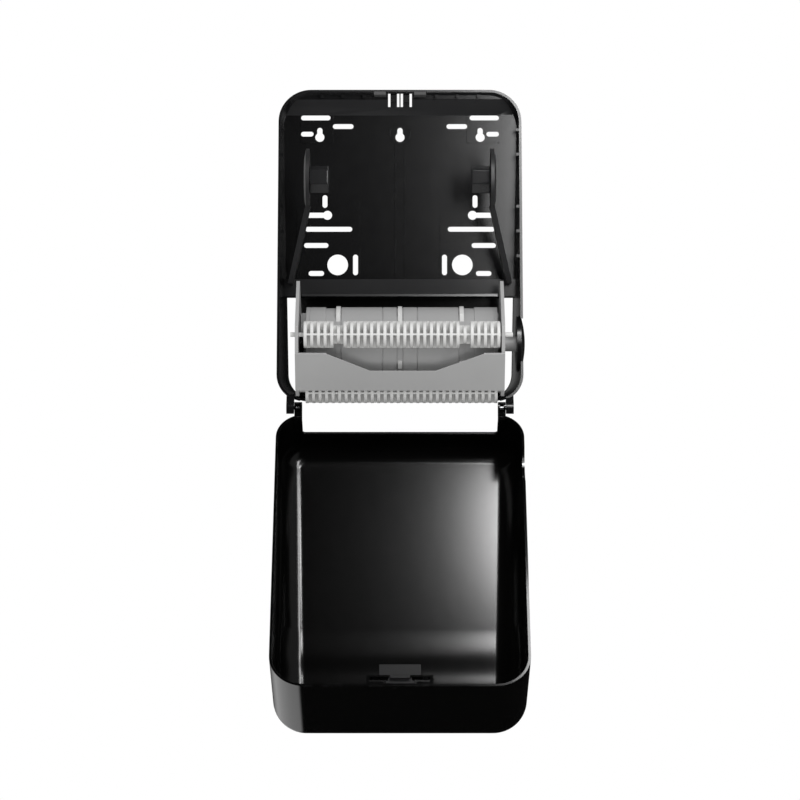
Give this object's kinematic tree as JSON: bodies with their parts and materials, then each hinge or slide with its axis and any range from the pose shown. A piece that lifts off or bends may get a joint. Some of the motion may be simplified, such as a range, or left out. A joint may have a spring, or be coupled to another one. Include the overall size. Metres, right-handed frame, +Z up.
{
  "type": "roll towel dispenser",
  "caption": "Open wall-mounted roll towel dispenser: black tray casing, sprung roll arms, grey feed drum with ribbed pinch rollers, hand knob and a bottom-hinged front cover.",
  "frame": {"origin": "on the wall face of the back plate, midway between the two rows of screw slots and on the centre line", "axes": "+Y into the wall, so the viewer looks along +Y; +X to the viewer's right; +Z up"},
  "size_m": [0.2703, 0.3132, 0.6931],
  "materials": {
    "black_plastic": "semi-gloss black moulded plastic",
    "dark_plastic": "satin dark grey plastic",
    "grey_plastic": "satin mid grey plastic",
    "pale_plastic": "satin light grey plastic",
    "bearing_plastic": "natural bearing plastic",
    "steel": "bright zinc-plated steel",
    "rubber": "matt grey rubber"
  },
  "bodies": {
    "chassis": {"back_plate": "black_plastic", "cover_buffers": "rubber", "left_side_plate": "grey_plastic", "right_side_plate": "grey_plastic", "front_panel": "grey_plastic", "paper_guide": "grey_plastic", "module_screws": "steel", "left_drum_bush": "bearing_plastic", "right_drum_bush": "bearing_plastic", "knife_cam": "bearing_plastic", "left_hinge_pin": "steel", "right_hinge_pin": "steel", "left_arm_pin": "steel", "right_arm_pin": "steel"},
    "drum": {"drum_front_shell": "grey_plastic", "drum_rear_shell": "grey_plastic", "drum_left_cap": "grey_plastic", "drum_right_cap": "grey_plastic", "drum_shaft": "steel", "knob_hub": "grey_plastic", "feed_knob": "black_plastic", "knob_screw": "steel"},
    "knife": {"knife_holder": "grey_plastic", "knife_blade": "steel", "blade_screws": "steel", "knife_lever": "steel", "cam_roller": "bearing_plastic"},
    "upper_roller": {"upper_roller": "pale_plastic"},
    "lower_roller": {"lower_roller": "pale_plastic"},
    "left_arm": {"left_roll_arm": "black_plastic", "left_hub_pin": "steel"},
    "right_arm": {"right_roll_arm": "black_plastic", "right_hub_pin": "steel"},
    "left_hub": {"left_hub": "black_plastic"},
    "right_hub": {"right_hub": "black_plastic"},
    "cover": {"cover_shell": "black_plastic", "lock_bracket": "black_plastic", "bracket_screws": "steel"},
    "lock": {"lock_slider": "dark_plastic"}
  },
  "joints": [
    {"name": "cover_hinge", "type": "hinge", "parent": "chassis", "child": "cover", "pos_m": [0, -0.09, -0.251], "axis": [-1, 0, 0], "range_deg": [0, 153]},
    {"name": "left_arm_spread", "type": "hinge", "parent": "chassis", "child": "left_arm", "pos_m": [-0.1196, -0.034, -0.1115], "axis": [0, -1, 0], "range_deg": [0, 8], "stiffness_Nm_per_rad": 2, "springref_deg": -2.86},
    {"name": "right_arm_spread", "type": "hinge", "parent": "chassis", "child": "right_arm", "pos_m": [0.1196, -0.034, -0.1115], "axis": [0, 1, 0], "range_deg": [0, 8], "stiffness_Nm_per_rad": 2, "springref_deg": -2.86},
    {"name": "left_hub_spin", "type": "hinge", "parent": "left_arm", "child": "left_hub", "pos_m": [-0.0873, -0.085, -0.0034], "axis": [1, 0, 0], "continuous": true},
    {"name": "right_hub_spin", "type": "hinge", "parent": "right_arm", "child": "right_hub", "pos_m": [0.0873, -0.085, -0.0034], "axis": [1, 0, 0], "continuous": true},
    {"name": "drum_spin", "type": "hinge", "parent": "chassis", "child": "drum", "pos_m": [0, -0.055, -0.181], "axis": [1, 0, 0], "continuous": true},
    {"name": "upper_roller_spin", "type": "hinge", "parent": "chassis", "child": "upper_roller", "pos_m": [0, -0.10926, -0.172], "axis": [1, 0, 0], "continuous": true},
    {"name": "lower_roller_spin", "type": "hinge", "parent": "chassis", "child": "lower_roller", "pos_m": [0, -0.077, -0.23141], "axis": [1, 0, 0], "continuous": true},
    {"name": "knife_swing", "type": "hinge", "parent": "drum", "child": "knife", "pos_m": [0, -0.03101, -0.19255], "axis": [-1, 0, 0], "range_deg": [0, 24], "stiffness_Nm_per_rad": 0.2, "springref_deg": -14.32},
    {"name": "lock_slide", "type": "slide", "parent": "cover", "child": "lock", "axis": [0, 0.454, 0.891], "range_m": [0, 0.003], "stiffness_N_per_m": 150, "springref_m": -0.002}
  ],
  "couplings": [
    {"joint": "upper_roller_spin", "follows": "drum_spin", "ratio": -2.7778},
    {"joint": "lower_roller_spin", "follows": "drum_spin", "ratio": -2.7778}
  ]
}
